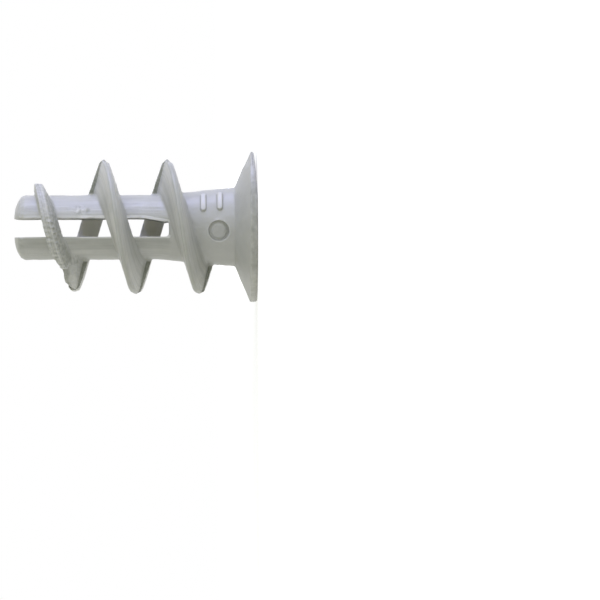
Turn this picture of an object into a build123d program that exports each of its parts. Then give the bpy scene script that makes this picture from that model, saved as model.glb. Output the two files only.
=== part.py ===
from build123d import *
from math import ceil, cos, floor, hypot, radians, sin
import os

# Plasterboard plug: one nylon moulding that drills its own hole.
# Lengths are in millimetres and angles in degrees.
# It stands on its head: Z = 0 is the head's outer face and Z grows along the axis to the tip.
# The two slots face -Y and +Y, which leaves a prong on each side of X. Angles run anticlockwise from +X.

# Head, collar, shank and tip
length = 22.0
head_radius = 6.85
rim_height = 0.62
rim_rounding = 0.1
head_height = 2.0
collar_foot_radius = 3.6
collar_top = 8.8
shank_radius = 2.91
tip_drop = 0.75

# Screw bore, straight through the collar and narrowing between the prongs
bore_radius = 1.55
bore_tip_radius = 1.1

# Cross recess for the driver
recess_core_radius = 2.0
recess_wall = 0.8
recess_arm_width = 1.3
recess_depth = 4.0
recess_draft = 0.3

# Slots between the prongs
slot_width = 1.8
slot_end = 7.97
slot_slant_length = 2.2
slot_slant = 0.4
slot_corner_radius = 0.3
slot_bevel = 0.22
slot_core_gap = 0.09

# Main thread, right-handed
thread_radius = 6.0
thread_pitch = 5.75
thread_base_width = 2.04
thread_crest_width = 0.45
thread_foot = 5.18
crest_bevel = 0.12
root_sink = 0.35

# Low lead thread, which runs from near the tip to the ramp where the main thread rises
lead_radius = 4.05
lead_crest_width = 0.7
lead_base_width = 1.25
lead_advance = 0.7
lead_swell = 0.31
lead_tip_gap = 2.46
lead_start_angle = -6.0
lead_turn = 190.0

# Notches across the lead's crest, from below the slot to the ramp
notch_start_turn = 92.0
notch_angle = 7.0
notch_depth = 0.12

# Ramp at the start of the main thread and run-out at its foot
ramp_turn = 47.0
full_thread_turn = 184.0
runout_turn = 95.0

# Steps at the mould's parting plane XZ, where each half-turn is widened to leave the mould along Y
parting_step = 0.42
parting_crest_step = 0.15
parting_turn = 45.0

# Moulding marks on the collar: two raised bars and the round sunk mark of the gate
mark_height = 0.12
bar_length = 2.1
bar_width = 0.45
bar_angle = -47.0
bar_places = (3.36, 4.86)
gate_radius = 0.95
gate_depth = 0.25
gate_angle = -97.0
gate_place = 3.45

# Widest angle between neighbouring sections along the thread
section_step = 18.0

root_radius = shank_radius - root_sink
lead_start_height = length - lead_tip_gap
ramp_start = full_thread_turn - ramp_turn
runout_end = (lead_start_height - thread_foot) / thread_pitch * 360 + runout_turn


def station(turn):
    """Axial plane at this many degrees back from the lead's blunt start: X points outwards, Y to the tip."""
    angle = radians(lead_start_angle - turn)
    return Plane(
        origin=(0, 0, lead_start_height - thread_pitch * turn / 360),
        x_dir=(cos(angle), sin(angle), 0),
        z_dir=(sin(angle), -cos(angle), 0),
    )


def half_width(radius):
    """Half the main thread's width along the axis at this radius."""
    flank_slope = (thread_base_width - thread_crest_width) / 2 / (thread_radius - shank_radius)
    return thread_crest_width / 2 + flank_slope * (thread_radius - radius)


def eased(share):
    """Share of a rise that starts and ends level."""
    share = min(max(share, 0), 1)
    return share * share * (3 - 2 * share)


def crossing(half):
    """Turn at which this half-turn of the thread starts, on the mould's parting plane."""
    return 180 * half + lead_start_angle


def half_turns():
    """Number of each of the main thread's half-turns."""
    return range(floor((ramp_start - lead_start_angle) / 180), ceil((runout_end - lead_start_angle) / 180))


def widening(radius, turn, edge):
    """Extra width of a flank at this radius, which fades with the turn from the edge of the half-turn."""
    share = (radius - shank_radius) / (thread_radius - shank_radius)
    step = parting_step + (parting_crest_step - parting_step) * share
    return step * max(0, 1 - abs(turn - edge) / parting_turn) ** 2


def main_section(turn, half):
    """Section of one half-turn of the main thread, whose root is sunk in the shank's wall."""
    rise = eased((turn - ramp_start) / ramp_turn) * eased((runout_end - turn) / runout_turn)
    crest_radius = shank_radius + (thread_radius - shank_radius) * rise
    corner_radius = crest_radius - crest_bevel
    crest = half_width(crest_radius) - crest_bevel
    corner = half_width(corner_radius)
    root = half_width(root_radius)
    start, end = crossing(half), crossing(half + 1)
    with BuildSketch(station(turn)) as section:
        with BuildLine():
            Polyline(
                (root_radius, -root - widening(root_radius, turn, start)),
                (corner_radius, -corner - widening(corner_radius, turn, start)),
                (crest_radius, -crest),
                (crest_radius, crest),
                (corner_radius, corner + widening(corner_radius, turn, end)),
                (root_radius, root + widening(root_radius, turn, end)),
                close=True,
            )
        make_face()
    return section.sketch


def lead_section(turn):
    """Section of the lead thread: square towards the tip, swelling at half-way, with a sloping flank."""
    front = lead_advance + lead_swell * sin(radians(180 * turn / lead_turn))
    flank_top = front - lead_crest_width
    flank_foot = lead_advance - lead_base_width
    flank_slope = (flank_top - flank_foot) / (lead_radius - shank_radius)
    with BuildSketch(station(turn)) as section:
        with BuildLine():
            Polyline(
                (root_radius, front),
                (lead_radius, front),
                (lead_radius, flank_top),
                (root_radius, flank_foot - flank_slope * root_sink),
                close=True,
            )
        make_face()
    return section.sketch


def collar_radius(height):
    """Radius of the collar's taper at this height."""
    share = (height - head_height) / (collar_top - head_height)
    return collar_foot_radius + (shank_radius - collar_foot_radius) * share


def collar_plane(angle, height):
    """Plane that touches the collar at this place and faces outwards, with X around the collar."""
    turn, radius = radians(angle), collar_radius(height)
    return Plane(
        origin=(radius * cos(turn), radius * sin(turn), height),
        x_dir=(-sin(turn), cos(turn), 0),
        z_dir=(cos(turn), sin(turn), 0),
    )


def turns(first, last):
    """Evenly spaced stations from one turn to another, both included."""
    steps = ceil((last - first) / section_step)
    return [first + (last - first) * step / steps for step in range(steps + 1)]


with BuildPart() as bars:
    # Two bars around the collar, trimmed to an even height above its taper
    for place in bar_places:
        with BuildSketch(collar_plane(bar_angle, place)):
            SlotOverall(bar_length, bar_width)
    extrude(amount=shank_radius - bore_radius, both=True)
    with BuildSketch(Plane.XZ):
        with BuildLine():
            Polyline(
                (0, head_height),
                (collar_foot_radius + mark_height, head_height),
                (shank_radius + mark_height, collar_top),
                (0, collar_top),
                close=True,
            )
        make_face()
    revolve(axis=Axis.Z, mode=Mode.INTERSECT)

with BuildSketch(Plane.XZ) as slot:
    # Slot seen along Y, with the side on +X slanting in towards the closed end
    side = slot_width / 2
    with BuildLine():
        Polyline(
            (-side, length),
            (-side, slot_end),
            (side - slot_slant, slot_end),
            (side, slot_end + slot_slant_length),
            (side, length),
            close=True,
        )
    make_face()
    fillet(vertices().group_by(Axis.Y)[0], slot_corner_radius)

with BuildPart() as slot_core:
    # Space of the mould's core, which reaches a little past the shank where the thread bridges the slots
    with BuildSketch(Plane.XY.offset(slot_end)):
        Circle(shank_radius + slot_core_gap)
    extrude(amount=length - slot_end)
    extrude(slot.sketch, amount=head_radius, both=True, mode=Mode.INTERSECT)

with BuildPart() as lead:
    # Lead, with notches across its crest up to the ramp
    loft([lead_section(turn) for turn in turns(0, lead_turn)])
    for notch in range(ceil((ramp_start - notch_start_turn) / notch_angle)):
        middle = station(notch_start_turn + notch * notch_angle)
        with BuildSketch(Plane(middle.origin, x_dir=middle.x_dir, z_dir=(0, 0, 1))):
            with BuildLine():
                Polyline(
                    (lead_radius - notch_depth, 0),
                    (lead_radius + notch_depth, 2 * notch_depth),
                    (lead_radius + notch_depth, -2 * notch_depth),
                    close=True,
                )
            make_face()
    extrude(amount=lead_base_width, both=True, mode=Mode.SUBTRACT)

with BuildPart() as plug_body:
    # Head, collar, shank and domed tip in one turned profile
    with BuildSketch(Plane.XZ):
        with BuildLine():
            Polyline(
                (0, length),
                (0, 0),
                (head_radius - rim_rounding, 0),
                (head_radius, rim_rounding),
                (head_radius, rim_height),
                (collar_foot_radius, head_height),
                (shank_radius, collar_top),
                (shank_radius, length - tip_drop),
            )
            Line((0, length), (bore_tip_radius, length))
            RadiusArc(
                (bore_tip_radius, length),
                (shank_radius, length - tip_drop),
                ((shank_radius - bore_tip_radius) ** 2 + tip_drop**2) / (2 * tip_drop),
            )
        make_face()
    revolve(axis=Axis.Z)

    # Slots, bevelled where they come out of the shank
    extrude(slot.sketch, amount=head_radius, both=True, mode=Mode.SUBTRACT)
    rim_edges = edges(Select.LAST).filter_by(
        lambda edge: hypot(edge.center().X, edge.center().Y) > shank_radius - slot_bevel
    )
    chamfer(rim_edges, slot_bevel)

    # Main thread, one half-turn after another from the ramp to the run-out, and the lead
    for half in half_turns():
        first = max(ramp_start, crossing(half))
        last = min(runout_end, crossing(half + 1))
        loft([main_section(turn, half) for turn in turns(first, last)])
    add(lead.part)
    add(slot_core.part, mode=Mode.SUBTRACT)

    # Moulding marks
    add(bars.part)
    with BuildSketch(collar_plane(gate_angle, gate_place)):
        Circle(gate_radius)
    extrude(amount=gate_depth, both=True, mode=Mode.SUBTRACT)

    # Cross recess in the head's face
    recess_reach = collar_foot_radius - recess_wall
    for height, inset in ((0, 0), (recess_depth, recess_draft)):
        with BuildSketch(Plane.XY.offset(height)):
            reach, width = 2 * (recess_reach - inset), recess_arm_width - inset
            Rectangle(reach, width)
            Rectangle(width, reach)
    loft(ruled=True, mode=Mode.SUBTRACT)

    # Screw bore, widened to the core of the recess
    with BuildSketch(Plane.XZ):
        with BuildLine():
            Polyline(
                (0, 0),
                (recess_core_radius, 0),
                (bore_radius, recess_depth),
                (bore_radius, slot_end),
                (bore_tip_radius, length),
                (0, length),
                close=True,
            )
        make_face()
    revolve(axis=Axis.Z, mode=Mode.SUBTRACT)

plug_body.part.label = "plug_body"

os.makedirs("parts", exist_ok=True)
export_step(plug_body.part, "parts/plug_body.step")
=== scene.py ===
"""The look of a plasterboard plug in moulded nylon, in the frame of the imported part. The plug stands on its
head at z = 0 and its tip points along +Z. The camera looks along +Y with +X up, as in the photograph, where
the plug lies with its head to the right. The scene is in metres, and MM brings sizes in millimetres to it."""

import bpy
from math import cos, pi, radians, sin, tau
from mathutils import Matrix, Vector

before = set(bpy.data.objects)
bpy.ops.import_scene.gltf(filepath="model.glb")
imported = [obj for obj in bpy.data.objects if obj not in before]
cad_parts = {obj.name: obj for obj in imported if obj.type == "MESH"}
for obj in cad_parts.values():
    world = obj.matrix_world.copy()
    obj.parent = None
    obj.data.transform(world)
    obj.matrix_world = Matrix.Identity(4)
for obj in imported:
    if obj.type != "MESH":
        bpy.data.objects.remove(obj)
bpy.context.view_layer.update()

MM = 0.001

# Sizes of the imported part, in millimetres
HEAD_RADIUS = 6.85
COLLAR_FOOT = 2.0
COLLAR_FOOT_RADIUS = 3.6
COLLAR_TOP = 8.8
SHANK_RADIUS = 2.91
TIP = 22.0
SLOT_END = 7.97
SLOT_SIDE = 0.9
SLOT_SLANT = 0.4
SLOT_SLANT_TOP = 10.17
THREAD_PITCH = 5.75
THREAD_LOWEST = COLLAR_FOOT + 0.8
CREST_RADIUS = 6.0

# Lead thread, where each turn is in degrees from its blunt start
LEAD_RADIUS = 4.05
LEAD_START_HEIGHT = 19.54
LEAD_START_ANGLE = -6.0
LEAD_LOWEST = 16.2
NOTCHES_START_TURN = 75.0
NOTCH_MIDDLE_TURN = 92.0
NOTCH_ANGLE = 7.0
LEDGE_TURN = 151.0
PARTING_TURN = 174.5

# Marks on the collar, at their angles round the plug and places along Z
BAR_ANGLE = -47.0
BAR_PLACES = (3.36, 4.86)
BAR_LENGTH = 2.1
BAR_WIDTH = 0.45
GATE_ANGLE = -97.0
GATE_PLACE = 3.45
GATE_RADIUS = 0.95
MARK_FACING = 2.2

# Moulding faults on the prong on +X: a scuff and a pit, each at its place along X and Z
SCUFF_PLACE = (1.5, 15.95)
SCUFF_GRAIN = 2.8
PIT_PLACE = (1.45, 15.25)

# Nylon, with its sRGB colours from 0 to 255 at the shades 0 and 1
DARK_NYLON = (186, 187, 180)
PALE_NYLON = (219, 219, 214)
MEAN_SHADE = 0.5
MEAN_ROUGHNESS = 0.44
ROUGHNESS_CHANGE = 0.25
NYLON_IOR = 1.53
SUBSURFACE_SHARE = 0.3
SUBSURFACE_RADIUS = (1.0, 0.95, 0.7)
SUBSURFACE_SCALE = 1.5 * MM

# Modifiers
WELD_DISTANCE = 0.001 * MM
VOXEL_SIZE = 0.075 * MM
SMOOTH_FACTOR = 0.5
SMOOTH_STEPS = 3
TRIANGLES_KEPT = 0.33

# Camera
CAMERA_PLACE = Vector((-5.53, -243.7, 4.95)) * MM
CAMERA_TARGET = Vector((-6.70, 0, -3.94)) * MM
CAMERA_ROLL = 0.262
CAMERA_LENS = 160.06
SENSOR = 36.0
CLIP_START = 0.01
CLIP_END = 10

# Lamps: name, place, size, power in watts and linear colour
LAMP_TARGET = Vector((0, 0, 0.011))
LAMPS = (
    ("top", (0.34, 0.0, 0.05), (0.08, 0.08), 0.49, (0.55, 0.57, 1.0)),
    ("top_front", (0.22, -0.20, 0.12), (0.24, 0.20), 0.25, (0.77, 0.81, 1.0)),
    ("under", (-0.34, 0.0, 0.05), (0.08, 0.08), 0.06, (1.0, 1.0, 1.0)),
)
WORLD_LIGHT = (0.43, 0.435, 0.385)

# The floor glows to the camera: less near the plug, where its shadow shows, and up to white further out
FLOOR_HALF = 0.6
FLOOR_COLOUR = (0.9, 0.9, 0.9, 1)
FLOOR_GLOW = 0.56
FLOOR_FADE_START = 0.03
FLOOR_FADE_END = 0.12


def linear(colour):
    """Linear colour, with alpha, of an sRGB colour given from 0 to 255."""
    shares = [c / 255 for c in colour]
    return [s / 12.92 if s <= 0.04045 else ((s + 0.055) / 1.055) ** 2.4 for s in shares] + [1.0]


def look_along(forward, up):
    """Rotation of a camera or lamp that looks along forward, with its top towards up."""
    back = -forward.normalized()
    right = up.cross(back).normalized()
    return Matrix((right, back.cross(right), back)).transposed().to_quaternion()


def add_camera():
    data = bpy.data.cameras.new("camera")
    data.sensor_width = SENSOR
    data.lens = CAMERA_LENS
    data.clip_start = CLIP_START
    data.clip_end = CLIP_END
    camera = bpy.data.objects.new("camera", data)
    bpy.context.scene.collection.objects.link(camera)
    forward = CAMERA_TARGET - CAMERA_PLACE
    up = Vector((1, 0, 0))
    up.rotate(Matrix.Rotation(radians(CAMERA_ROLL), 3, forward))
    camera.location = CAMERA_PLACE
    camera.rotation_mode = "QUATERNION"
    camera.rotation_quaternion = look_along(forward, up)
    bpy.context.scene.camera = camera


def add_lamp(name, place, size, power, colour):
    data = bpy.data.lights.new(name, "AREA")
    data.shape = "RECTANGLE"
    data.size, data.size_y = size
    data.energy = power
    data.color = colour
    lamp = bpy.data.objects.new(name, data)
    bpy.context.scene.collection.objects.link(lamp)
    lamp.location = place
    lamp.rotation_mode = "QUATERNION"
    lamp.rotation_quaternion = look_along(LAMP_TARGET - Vector(place), Vector((0, 0, 1)))


class Nodes:
    """A node tree that is written as calls. All but add give an output, which the next call can take."""

    def __init__(self, tree):
        self.tree = tree

    def add(self, kind, inputs=None, **settings):
        """Adds a node; inputs maps a socket's name or number to a value or to another node's output."""
        node = self.tree.nodes.new(kind)
        for name, value in settings.items():
            setattr(node, name, value)
        for name, value in (inputs or {}).items():
            if isinstance(value, bpy.types.NodeSocket):
                self.tree.links.new(value, node.inputs[name])
            else:
                node.inputs[name].default_value = value
        return node

    def math(self, operation, *values, clamp=False):
        inputs = dict(enumerate(values))
        return self.add("ShaderNodeMath", inputs, operation=operation, use_clamp=clamp).outputs[0]

    def vector_math(self, operation, inputs):
        return self.add("ShaderNodeVectorMath", inputs, operation=operation).outputs[0]

    def vector(self, x, y, z):
        return self.add("ShaderNodeCombineXYZ", {0: x, 1: y, 2: z}).outputs[0]

    def total(self, *values):
        out = values[0]
        for value in values[1:]:
            out = self.math("ADD", out, value)
        return out

    def product(self, *values):
        out = values[0]
        for value in values[1:]:
            out = self.math("MULTIPLY", out, value)
        return out

    def minus(self, value, other):
        return self.math("SUBTRACT", value, other)

    def absolute(self, value):
        return self.math("ABSOLUTE", value)

    def distance(self, x, y):
        return self.math("SQRT", self.total(self.product(x, x), self.product(y, y)))

    def noise(self, place, scale, detail=2.0, roughness=0.5):
        """Noise from about -0.5 to 0.5 at a place in millimetres."""
        inputs = {"Vector": place, "Scale": scale, "Detail": detail, "Roughness": roughness}
        return self.minus(self.add("ShaderNodeTexNoise", inputs).outputs[0], 0.5)

    def is_over(self, value, limit):
        """1 where the value is over the limit and 0 elsewhere."""
        return self.math("GREATER_THAN", value, limit)

    def is_under(self, value, limit):
        """1 where the value is under the limit and 0 elsewhere."""
        return self.math("LESS_THAN", value, limit)

    def above(self, value, low, blur):
        """1 where the value is low or more, fading to 0 over the blur under low."""
        return self.math("DIVIDE", self.minus(value, low - blur), blur, clamp=True)

    def below(self, value, high, blur):
        """1 where the value is high or less, fading to 0 over the blur over high."""
        return self.math("DIVIDE", self.minus(high + blur, value), blur, clamp=True)

    def band(self, value, low, high, blur):
        """1 where the value lies between low and high, fading to 0 over the blur on both sides."""
        return self.product(self.above(value, low, blur), self.below(value, high, blur))


def plug_fields(nodes, position):
    """Fields over the plug, in millimetres and degrees, which the relief and the nylon both read."""
    place = nodes.vector_math("MULTIPLY", {0: position, 1: (1 / MM,) * 3})
    x, y, z = nodes.add("ShaderNodeSeparateXYZ", {0: place}).outputs
    radius = nodes.distance(x, y)
    angle = nodes.math("ARCTAN2", y, x)
    # This phase is the same all along a right-handed thread, so noise that is read at it follows the thread
    phase = nodes.minus(nodes.product(z, tau / THREAD_PITCH), angle)
    sine, cosine = [nodes.product(nodes.math(wave, phase), THREAD_PITCH / tau) for wave in ("SINE", "COSINE")]
    # Noise that is read at this squeezed place is drawn out along the axis
    squeeze = 0.06
    axis_place = nodes.vector(x, y, nodes.product(z, squeeze))
    # Height above the shank and its collar, which is the thread's own height
    taper = nodes.below(z, COLLAR_FOOT, COLLAR_TOP - COLLAR_FOOT)
    core = nodes.math("MULTIPLY_ADD", taper, COLLAR_FOOT_RADIUS - SHANK_RADIUS, SHANK_RADIUS)
    # Distance along the axis from the middle of the thread's crest, towards the tip
    crest_phase = radians(LEAD_START_HEIGHT / THREAD_PITCH * 360 - LEAD_START_ANGLE) % tau
    past_crest = nodes.math("WRAP", nodes.minus(phase, crest_phase), pi, -pi)
    # Degrees turned from the lead's blunt start, over its first turn
    turned = nodes.minus(LEAD_START_ANGLE, nodes.product(angle, 360 / tau))
    return {"place": place, "x": x, "y": y, "z": z, "radius": radius, "above_core": nodes.minus(radius, core),
            "turn_place": nodes.vector(sine, cosine, radius), "axis_place": axis_place,
            "from_crest": nodes.product(past_crest, THREAD_PITCH / tau),
            "turn": nodes.math("WRAP", turned, 360.0, 0.0)}


def across_and_facing(nodes, at, angle):
    """Distances from the plug's axis, to the side and outwards, for a mark at this angle."""
    outwards_x, outwards_y = cos(radians(angle)), sin(radians(angle))
    across = nodes.total(nodes.product(at["x"], -outwards_y), nodes.product(at["y"], outwards_x))
    facing = nodes.total(nodes.product(at["x"], outwards_x), nodes.product(at["y"], outwards_y))
    return across, facing


def past_edge(nodes, edge, facing):
    """Distance outside a mark's edge, made large on the sides of the plug that don't face the mark."""
    far = 9.0
    return nodes.total(edge, nodes.product(nodes.is_under(facing, MARK_FACING), far))


def past_bars(nodes, at):
    """Distance outside the edge of the nearer bar."""
    across, facing = across_and_facing(nodes, at, BAR_ANGLE)
    first, second = [nodes.absolute(nodes.minus(at["z"], place)) for place in BAR_PLACES]
    along = nodes.math("MINIMUM", first, second)
    past_end = nodes.minus(nodes.absolute(across), (BAR_LENGTH - BAR_WIDTH) / 2)
    edge = nodes.minus(nodes.distance(nodes.math("MAXIMUM", past_end, 0.0), along), BAR_WIDTH / 2)
    return past_edge(nodes, edge, facing)


def past_gate(nodes, at):
    """Distance outside the edge of the gate's round mark."""
    across, facing = across_and_facing(nodes, at, GATE_ANGLE)
    edge = nodes.minus(nodes.distance(across, nodes.minus(at["z"], GATE_PLACE)), GATE_RADIUS)
    return past_edge(nodes, edge, facing)


def lead_marks(nodes, at):
    """Masks of the lead thread up to its ledge, of its notches, its ledge and the rough recess past that."""
    on_lead = nodes.product(nodes.band(at["z"], LEAD_LOWEST, TIP, blur=0.3),
                            nodes.band(at["from_crest"], -0.9, 1.2, blur=0.1),
                            nodes.above(at["radius"], SHANK_RADIUS + 0.2, blur=0.15))
    before_end = nodes.band(at["turn"], -1.0, LEDGE_TURN, blur=2.0)
    notch = nodes.math("COSINE", nodes.product(nodes.minus(at["turn"], NOTCH_MIDDLE_TURN), tau / NOTCH_ANGLE))
    notched = nodes.product(notch, nodes.band(at["turn"], NOTCHES_START_TURN, LEDGE_TURN, blur=6.0),
                            nodes.band(at["radius"], LEAD_RADIUS - 0.25, LEAD_RADIUS + 0.35, blur=0.1),
                            on_lead)
    ledge = nodes.product(nodes.band(at["turn"], LEDGE_TURN - 3, LEDGE_TURN, blur=1.5), on_lead,
                          nodes.band(at["from_crest"], -0.2, 1.0, blur=0.1),
                          nodes.band(at["radius"], 3.6, 4.7, blur=0.2))
    recess = nodes.product(nodes.is_over(at["turn"], LEDGE_TURN + 1),
                           nodes.below(at["turn"], 170.0, blur=12.0), on_lead,
                           nodes.band(at["from_crest"], 0.2, 1.2, blur=0.25),
                           nodes.band(at["radius"], 3.6, 5.2, blur=0.6))
    return {"lead": nodes.product(on_lead, before_end), "notch": notched, "ledge": ledge, "recess": recess}


def prong_faults(nodes, at):
    """Masks of the scuff and the pit, on the side of the prong that faces -Y."""
    facing = nodes.product(nodes.is_under(at["y"], -0.9), nodes.is_under(at["radius"], 3.1))
    scuff_x, scuff_z = [nodes.minus(at[axis], place) for axis, place in zip("xz", SCUFF_PLACE)]
    pit_x, pit_z = [nodes.minus(at[axis], place) for axis, place in zip("xz", PIT_PLACE)]
    # The scuff is longer along the prong than across it
    from_scuff = nodes.distance(nodes.product(scuff_x, 1.6), scuff_z)
    scuff = nodes.product(nodes.below(from_scuff, 0.3, blur=0.6), facing)
    pit = nodes.product(nodes.below(nodes.distance(pit_x, pit_z), 0.05, blur=0.2), facing)
    return {"scuff": scuff, "pit": pit}


def past_slot_wall(nodes, at):
    """Distance from the slot's wall into the prong. The wall on +X slants in at the slot's closed end."""
    slant = nodes.product(nodes.below(at["z"], SLOT_END, SLOT_SLANT_TOP - SLOT_END),
                          nodes.is_over(at["x"], 0.0), SLOT_SLANT)
    return nodes.total(nodes.minus(nodes.absolute(at["x"]), SLOT_SIDE), slant)


def crisp_slot_edges(nodes, at):
    """Offset that fills the slots' bevels where they leave the shank, and moves the wall on +X inwards."""
    past_wall = past_slot_wall(nodes, at)
    # Surface a little under the round shank is lifted out to it, and what lies deeper is lifted less
    shell = nodes.math("SQRT", nodes.minus(SHANK_RADIUS ** 2, nodes.product(at["x"], at["x"])))
    depth = nodes.minus(shell, nodes.absolute(at["y"]))
    unlifted_depth, lift_share = 0.55, 0.8
    lift = nodes.math("MINIMUM", depth, nodes.product(nodes.minus(unlifted_depth, depth), lift_share))
    lift = nodes.product(nodes.math("MAXIMUM", lift, 0.0), nodes.band(past_wall, -0.05, 0.25, blur=0.05),
                         nodes.band(at["z"], SLOT_END + 0.2, TIP - 1.1, blur=0.3), MM)
    along_y = nodes.product(lift, nodes.math("SIGN", at["y"]))
    wall_shift = -0.14 * MM
    at_wall = nodes.product(nodes.band(past_wall, -0.05, 0.05, blur=0.25), nodes.is_over(at["x"], 0.0),
                            nodes.is_under(at["radius"], SHANK_RADIUS + 0.04))
    along_x = nodes.product(at_wall, nodes.band(at["z"], SLOT_END + 0.4, TIP, blur=0.3), wall_shift)
    return nodes.vector(along_x, along_y, 0.0)


def crest_fin(nodes, at):
    """Offset that draws the crest out to a thin fin of flash at the parting line."""
    half_width = 0.33
    to_middle = nodes.minus(1.0, nodes.product(nodes.absolute(at["from_crest"]), 1 / half_width))
    fin = nodes.product(nodes.math("MAXIMUM", to_middle, 0.0), nodes.band(at["y"], -0.06, 0.06, blur=0.25),
                        nodes.above(at["radius"], CREST_RADIUS - 0.3, blur=0.2),
                        nodes.band(at["z"], 3.5, TIP, blur=0.5))
    # The mould halves met less well on +X, where the fin is higher
    mean_reach, reach_change = 0.07, 0.13
    reach = nodes.total(nodes.product(nodes.math("SIGN", at["x"]), reach_change), mean_reach)
    return nodes.vector(nodes.product(fin, reach, MM), 0.0, 0.0)


def lead_end(nodes, at, lead):
    """Offset that narrows the lead towards its end ledge and hollows the edge of the ramp that follows."""
    narrowing, hollow_depth, corner_depth = 0.3, 0.2, 0.38
    narrowed = nodes.product(nodes.band(at["turn"], 146.0, LEDGE_TURN, blur=26.0), lead,
                             nodes.band(at["from_crest"], 0.45, 1.3, blur=0.4), narrowing)
    on_ramp = nodes.product(nodes.is_over(at["turn"], LEDGE_TURN + 0.5),
                            nodes.is_under(at["turn"], PARTING_TURN),
                            nodes.band(at["z"], LEAD_LOWEST, TIP, blur=0.3),
                            nodes.above(at["radius"], 3.5, blur=0.3))
    hollow = nodes.product(nodes.below(at["radius"], 4.25, blur=0.7), on_ramp,
                           nodes.band(at["from_crest"], 0.3, 1.3, blur=0.3), hollow_depth)
    corner = nodes.product(nodes.above(at["radius"], 5.45, blur=0.6), on_ramp,
                           nodes.above(at["turn"], 171.0, blur=5.0),
                           nodes.band(at["from_crest"], 0.38, 1.2, blur=0.7), corner_depth)
    return nodes.vector(0.0, 0.0, nodes.product(nodes.total(narrowed, hollow, corner), -MM))


def thin_rim(nodes, at):
    """Offset that sinks the head's face a little towards +X and thins its rim there, as warping has done."""
    face_depth, back_depth = 0.24, 0.1
    face = nodes.product(nodes.above(at["x"], 6.5, blur=3.9), nodes.below(at["z"], 0.25, blur=0.2),
                         face_depth)
    back = nodes.product(nodes.above(at["x"], 5.8, blur=0.5), nodes.band(at["z"], 0.45, 1.8, blur=0.15),
                         back_depth)
    return nodes.vector(0.0, 0.0, nodes.product(nodes.minus(face, back), MM))


def flash_height(nodes, at, above_head):
    """Height of the flash: a thin raised line where the mould halves met, broken up along its length."""
    highest = 0.045
    uneven = nodes.math("MULTIPLY_ADD", nodes.noise(at["place"], scale=1.1), 1.6, 0.8, clamp=True)
    return nodes.product(nodes.band(at["y"], -0.02, 0.02, blur=0.07), above_head, uneven, highest,
                         nodes.band(at["radius"], SHANK_RADIUS - 0.25, 7.0, blur=0.1))


def lead_heights(nodes, at, lead):
    """Heights that roughen the lead, fill its notches but for the tip's side, and tear it past its ledge."""
    lump_height, fill_height, tear_height = 0.12, 0.08, 0.06
    lumps = nodes.product(nodes.noise(at["place"], scale=2.6), lead["lead"], lump_height)
    filled = nodes.product(nodes.math("MAXIMUM", lead["notch"], 0.0),
                           nodes.band(at["from_crest"], -0.9, 0.5, blur=0.2), fill_height)
    torn = nodes.total(nodes.product(lead["ledge"], tear_height), nodes.product(lead["recess"], -tear_height))
    return lumps, filled, torn


def fault_height(nodes, at):
    """Height of the scuff, which is rough, and of the pit."""
    faults = prong_faults(nodes, at)
    scuff_height, pit_depth = 0.09, 0.04
    rough = nodes.product(nodes.noise(at["place"], SCUFF_GRAIN), faults["scuff"], scuff_height)
    return nodes.minus(rough, nodes.product(faults["pit"], pit_depth))


def mark_heights(nodes, at):
    """Heights that make the marks crisp: bars in a groove, and a lip round the gate with a groove inside."""
    from_bars, from_gate = past_bars(nodes, at), past_gate(nodes, at)
    bar_height, bar_groove, lip_height, gate_groove = 0.06, 0.03, 0.04, 0.14
    bars = nodes.minus(nodes.product(nodes.below(from_bars, -0.02, blur=0.08), bar_height),
                       nodes.product(nodes.band(from_bars, 0.06, 0.1, blur=0.06), bar_groove))
    gate = nodes.minus(nodes.product(nodes.band(from_gate, 0.0, 0.08, blur=0.06), lip_height),
                       nodes.product(nodes.band(from_gate, -0.2, -0.08, blur=0.08), gate_groove))
    return bars, gate


def surface_relief():
    """Geometry nodes that move the surface by heights along its normals and by offsets along the axes."""
    tree = bpy.data.node_groups.new("moulded_surface", "GeometryNodeTree")
    tree.interface.new_socket("Geometry", in_out="INPUT", socket_type="NodeSocketGeometry")
    tree.interface.new_socket("Geometry", in_out="OUTPUT", socket_type="NodeSocketGeometry")
    nodes = Nodes(tree)
    into = nodes.add("NodeGroupInput")
    normal = nodes.add("GeometryNodeInputNormal").outputs[0]
    at = plug_fields(nodes, nodes.add("GeometryNodeInputPosition").outputs[0])

    wave_height, flow_height = 0.08, 0.16
    above_head = nodes.band(at["z"], THREAD_LOWEST, TIP, blur=0.3)
    waves = nodes.product(nodes.noise(at["place"], scale=0.55, detail=1.0),
                          nodes.above(at["z"], 0.5, blur=0.4), wave_height)
    flow = nodes.product(nodes.noise(at["turn_place"], scale=2.2),
                         nodes.above(at["above_core"], 0.3, blur=0.2), above_head, flow_height)
    lead = lead_marks(nodes, at)
    height = nodes.total(waves, flow, flash_height(nodes, at, above_head), *lead_heights(nodes, at, lead),
                         fault_height(nodes, at), *mark_heights(nodes, at))
    offset = nodes.vector_math("SCALE", {0: normal, "Scale": nodes.product(height, MM)})
    for more in (crisp_slot_edges(nodes, at), crest_fin(nodes, at), lead_end(nodes, at, lead["lead"]),
                 thin_rim(nodes, at)):
        offset = nodes.vector_math("ADD", {0: offset, 1: more})
    moved = nodes.add("GeometryNodeSetPosition", {"Geometry": into.outputs[0], "Offset": offset}).outputs[0]
    nodes.add("NodeGroupOutput", {0: moved})
    return tree


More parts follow.
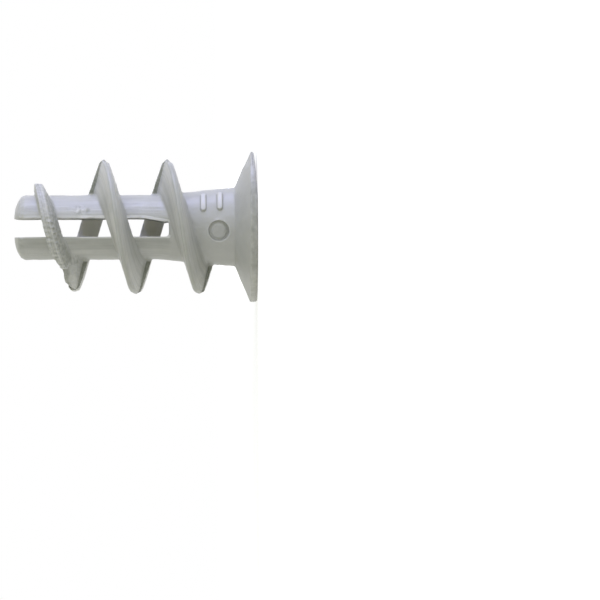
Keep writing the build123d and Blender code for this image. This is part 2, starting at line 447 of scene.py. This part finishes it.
def parting_shade(nodes, at, true_normal):
    """Steps at the parting line: painted shade on their faces, and the edge beside them paler."""
    painted_step_shade, edge_shade = 1.6, 0.6
    off_parting = nodes.absolute(at["y"])
    facing_y = nodes.absolute(nodes.add("ShaderNodeSeparateXYZ", {0: true_normal}).outputs["Y"])
    # Painted shade on the step faces, and a paler edge beside them
    face = nodes.product(nodes.below(off_parting, 0.09, blur=0.05), nodes.above(facing_y, 0.75, blur=0.25),
                         at["on_thread"])
    edge = nodes.product(nodes.band(off_parting, 0.07, 0.15, blur=0.04), nodes.below(facing_y, 0.4, blur=0.2),
                         at["on_thread"])
    return nodes.minus(nodes.product(edge, edge_shade), nodes.product(face, painted_step_shade))


def lead_shade(nodes, at):
    """The lead: mottled and a little darker; painted light on its teeth and ledge; painted shade in its
    notches, behind its crest and in its streaked recess.
    """
    lead = lead_marks(nodes, at)
    either = nodes.math("MAXIMUM", lead["lead"], lead["recess"])
    patches = nodes.product(nodes.noise(at["place"], scale=3.4), either, 2.0)
    lengthwise = nodes.noise(nodes.vector(at["from_crest"], 0.0, 0.0), scale=5.0)
    lengthwise = nodes.product(lengthwise, lead["lead"], 3.0)
    # Painted shade on the flank behind the crest
    behind_crest = nodes.product(nodes.band(at["from_crest"], -1.0, -0.1, blur=0.1), lead["lead"], -0.3)
    tears = nodes.product(nodes.noise(nodes.vector(0.0, 0.0, at["z"]), scale=5.0), lead["recess"], 3.0)
    # Blotches of painted light and shade on the teeth and notches
    notch_patches = nodes.product(lead["notch"], nodes.noise(at["place"], scale=1.3), -1.5)
    # Painted light on the ledge and the teeth, painted shade in the notches and the recess, and the lead a
    # little darker
    even_shades = {"lead": -0.1, "notch": -0.2, "ledge": 1.0, "recess": -0.8}
    even = [nodes.product(lead[name], shade) for name, shade in even_shades.items()]
    return nodes.total(patches, lengthwise, behind_crest, tears, notch_patches, *even)


def fault_shade(nodes, at):
    """The scuff, which is blotched, and the pit, which is dark."""
    faults = prong_faults(nodes, at)
    blotches = nodes.product(nodes.noise(at["place"], SCUFF_GRAIN), faults["scuff"], 5.0)
    return nodes.minus(blotches, nodes.product(faults["pit"], 0.7))


def mark_shade(nodes, at):
    """The marks: painted shade along the foot of the bars and inside the gate's edge, and painted light on
    the bars' tops and the gate's lip.
    """
    from_bars, from_gate = past_bars(nodes, at), past_gate(nodes, at)
    # Painted shade at the bars' foot and inside the gate's edge, painted light on the bars' tops and the
    # gate's lip
    bar_foot = nodes.product(nodes.band(from_bars, 0.0, 0.06, blur=0.06), -0.35)
    bar_top = nodes.product(nodes.below(from_bars, -0.04, blur=0.05), 0.8)
    gate_edge = nodes.product(nodes.band(from_gate, -0.1, -0.04, blur=0.05), -0.45)
    gate_lip = nodes.product(nodes.band(from_gate, 0.02, 0.06, blur=0.05), 0.4)
    return nodes.total(bar_foot, bar_top, gate_edge, gate_lip)


def thread_shade(nodes, at):
    """The thread: painted light where it is thin and, on +Y, where it bridges a slot, and painted shade on
    its crest.
    """
    # Painted light on the thin outer thread and on the bridges, and painted shade on the crest
    thin = nodes.product(nodes.above(at["above_core"], 3.0, blur=1.8), at["on_thread"], 0.7)
    crest = nodes.product(nodes.above(at["radius"], CREST_RADIUS - 0.12, blur=0.12), at["on_thread"], 0.8)
    painted_bridge_light = nodes.product(nodes.band(at["above_core"], 0.03, 0.3, blur=0.04),
                           nodes.band(at["x"], -SLOT_SIDE, SLOT_SIDE, blur=0.1),
                           nodes.is_over(at["y"], 0.0), 1.2)
    return nodes.total(nodes.minus(thin, crest), painted_bridge_light)


def prong_shade(nodes, at):
    """The prongs: painted light at the slots' edges, less so towards the tip, and painted shade below the
    edge on -X.
    """
    # Painted highlight along the slots' edges
    edge = nodes.product(nodes.band(past_slot_wall(nodes, at), -0.12, 0.10, blur=0.06), at["on_prongs"],
                         nodes.is_over(at["radius"], SHANK_RADIUS - 0.25))
    sharpness = nodes.math("MULTIPLY_ADD", nodes.band(at["z"], SLOT_END, 15.8, blur=0.4), 0.8, 0.5)
    # Painted shade below the slot's edge on -X
    painted_under_edge_shade = nodes.product(nodes.band(at["x"], -1.9, -1.1, blur=0.25), at["on_prongs"],
                         nodes.is_under(at["y"], 0.0), 0.4)
    return nodes.minus(nodes.product(edge, sharpness), painted_under_edge_shade)


def rim_shade(nodes, at):
    """The head's rim: scuffed, with painted shade over it and painted light growing towards +X and -X."""
    rim = nodes.product(nodes.above(at["radius"], HEAD_RADIUS - 0.12, blur=0.06),
                        nodes.below(at["z"], 0.6, blur=0.1))
    # Painted light towards +X and -X over painted shade on the whole rim; the scuffs are the rim's own
    painted_side_light = nodes.math("MULTIPLY_ADD", nodes.absolute(at["x"]), 0.2, -0.6, clamp=True)
    scuffs = nodes.product(nodes.noise(at["place"], scale=1.6), 2.0)
    return nodes.product(rim, nodes.total(scuffs, painted_side_light, -0.45))


def nylon_fields(nodes, position):
    """The plug's fields, with masks of the thread and prongs and the noise that colour and bump share."""
    at = plug_fields(nodes, position)
    at["on_thread"] = nodes.product(nodes.above(at["above_core"], 0.25, blur=0.15),
                                    nodes.band(at["z"], THREAD_LOWEST, TIP, blur=0.3))
    on_shank = nodes.band(at["radius"], SHANK_RADIUS - 0.4, SHANK_RADIUS + 0.05, blur=0.05)
    at["on_prongs"] = nodes.product(on_shank, nodes.band(at["z"], SLOT_END, TIP, blur=0.5))
    at["mottle"] = nodes.noise(at["place"], scale=0.9, detail=3.0)
    streaks = nodes.noise(at["turn_place"], scale=3.2, detail=4.0, roughness=0.65)
    at["streaks"] = nodes.product(streaks, at["on_thread"])
    at["lines"] = nodes.product(nodes.noise(at["axis_place"], scale=3.5, detail=3.0), at["on_prongs"])
    return at


def nylon_colour(nodes, at, true_normal):
    """Colour of the nylon: dark at the shade 0, pale at 1, and past either at scuffs and where light and
    shade are painted in.
    """
    # Mottle, streaks and lines are the nylon's own; the parting, lead, mark, thread, prong and rim terms
    # carry painted light and shade
    shade = nodes.total(nodes.product(at["mottle"], 0.5), nodes.product(at["streaks"], 2.0), at["lines"],
                        parting_shade(nodes, at, true_normal), lead_shade(nodes, at), fault_shade(nodes, at),
                        mark_shade(nodes, at), thread_shade(nodes, at), prong_shade(nodes, at),
                        rim_shade(nodes, at), MEAN_SHADE)
    colours = {"Factor": shade, "A": linear(DARK_NYLON), "B": linear(PALE_NYLON)}
    return nodes.add("ShaderNodeMix", colours, data_type="RGBA", clamp_factor=False).outputs["Result"]


def nylon_bump(nodes, at):
    """Normals of the finest relief: streaks, flow lines, mottling and the grain of the mould."""
    streaks, lines = nodes.product(at["streaks"], 0.07), nodes.product(at["lines"], 0.05)
    grain = nodes.product(nodes.noise(at["place"], scale=6.0), 0.016)
    height = nodes.total(streaks, lines, grain, nodes.product(at["mottle"], 0.03))
    return nodes.add("ShaderNodeBump", {"Height": height, "Strength": 1.0, "Distance": MM}).outputs["Normal"]


def nylon():
    """Satin grey nylon, a little translucent."""
    material = bpy.data.materials.new("grey_nylon")
    material.use_nodes = True
    nodes = Nodes(material.node_tree)
    shader = material.node_tree.nodes["Principled BSDF"]
    link = material.node_tree.links.new
    geometry = nodes.add("ShaderNodeNewGeometry").outputs
    at = nylon_fields(nodes, geometry["Position"])

    roughness = nodes.math("MULTIPLY_ADD", nodes.total(at["mottle"], at["streaks"]), ROUGHNESS_CHANGE,
                           MEAN_ROUGHNESS)
    link(nylon_colour(nodes, at, geometry["True Normal"]), shader.inputs["Base Color"])
    link(roughness, shader.inputs["Roughness"])
    link(nylon_bump(nodes, at), shader.inputs["Normal"])
    shader.inputs["IOR"].default_value = NYLON_IOR
    shader.inputs["Subsurface Weight"].default_value = SUBSURFACE_SHARE
    shader.inputs["Subsurface Radius"].default_value = SUBSURFACE_RADIUS
    shader.inputs["Subsurface Scale"].default_value = SUBSURFACE_SCALE
    return material


def dress_plug():
    """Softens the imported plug's edges as moulding does, and gives it its relief and its nylon."""
    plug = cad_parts["plug_body"]
    weld = plug.modifiers.new("weld", "WELD")
    weld.merge_threshold = WELD_DISTANCE
    remesh = plug.modifiers.new("remesh", "REMESH")
    remesh.mode = "VOXEL"
    remesh.voxel_size = VOXEL_SIZE
    remesh.use_smooth_shade = True
    smooth = plug.modifiers.new("smooth", "SMOOTH")
    smooth.factor = SMOOTH_FACTOR
    smooth.iterations = SMOOTH_STEPS
    relief = plug.modifiers.new("relief", "NODES")
    relief.node_group = surface_relief()
    thin = plug.modifiers.new("thin", "DECIMATE")
    thin.ratio = TRIANGLES_KEPT
    plug.material_slots[0].material = nylon()


def seen_or_mirrored(nodes):
    """1 for the rays of the camera and of reflections, which show the white background."""
    path = nodes.add("ShaderNodeLightPath").outputs
    return nodes.math("MAXIMUM", path["Is Camera Ray"], path["Is Glossy Ray"])


def add_world():
    """White to the camera and in reflections, and a faint warm light to everything else."""
    world = bpy.data.worlds.new("studio")
    bpy.context.scene.world = world
    world.use_nodes = True
    world.node_tree.nodes.clear()
    nodes = Nodes(world.node_tree)
    soft = nodes.add("ShaderNodeBackground", {"Color": (*WORLD_LIGHT, 1), "Strength": 1.0}).outputs[0]
    white = nodes.add("ShaderNodeBackground", {"Color": (1, 1, 1, 1), "Strength": 1.0}).outputs[0]
    mix = nodes.add("ShaderNodeMixShader", {0: seen_or_mirrored(nodes), 1: soft, 2: white})
    nodes.add("ShaderNodeOutputWorld", {"Surface": mix.outputs[0]})


def floor_material():
    """Pale floor, whose glow grows outwards from near the plug."""
    material = bpy.data.materials.new("white_floor")
    material.use_nodes = True
    material.node_tree.nodes.clear()
    nodes = Nodes(material.node_tree)
    diffuse = nodes.add("ShaderNodeBsdfDiffuse", {"Color": FLOOR_COLOUR})
    position = nodes.add("ShaderNodeNewGeometry").outputs["Position"]
    x, y = nodes.add("ShaderNodeSeparateXYZ", {0: position}).outputs[:2]
    far = nodes.above(nodes.distance(x, y), FLOOR_FADE_END, FLOOR_FADE_END - FLOOR_FADE_START)
    strength = nodes.math("MULTIPLY_ADD", far, 1 - FLOOR_GLOW, FLOOR_GLOW)
    glow = nodes.add("ShaderNodeEmission", {"Strength": nodes.product(seen_or_mirrored(nodes), strength)})
    both = nodes.add("ShaderNodeAddShader", {0: diffuse.outputs[0], 1: glow.outputs[0]})
    nodes.add("ShaderNodeOutputMaterial", {"Surface": both.outputs[0]})
    return material


def add_floor():
    """A wide pale floor that shows the plug's shadow."""
    mesh = bpy.data.meshes.new("floor")
    corners = [(x * FLOOR_HALF, y * FLOOR_HALF, 0) for x, y in ((-1, -1), (1, -1), (1, 1), (-1, 1))]
    mesh.from_pydata(corners, [], [(0, 1, 2, 3)])
    mesh.materials.append(floor_material())
    floor = bpy.data.objects.new("floor", mesh)
    bpy.context.scene.collection.objects.link(floor)


dress_plug()
bpy.context.scene.view_settings.view_transform = "Standard"
add_world()
add_floor()
for lamp in LAMPS:
    add_lamp(*lamp)
add_camera()
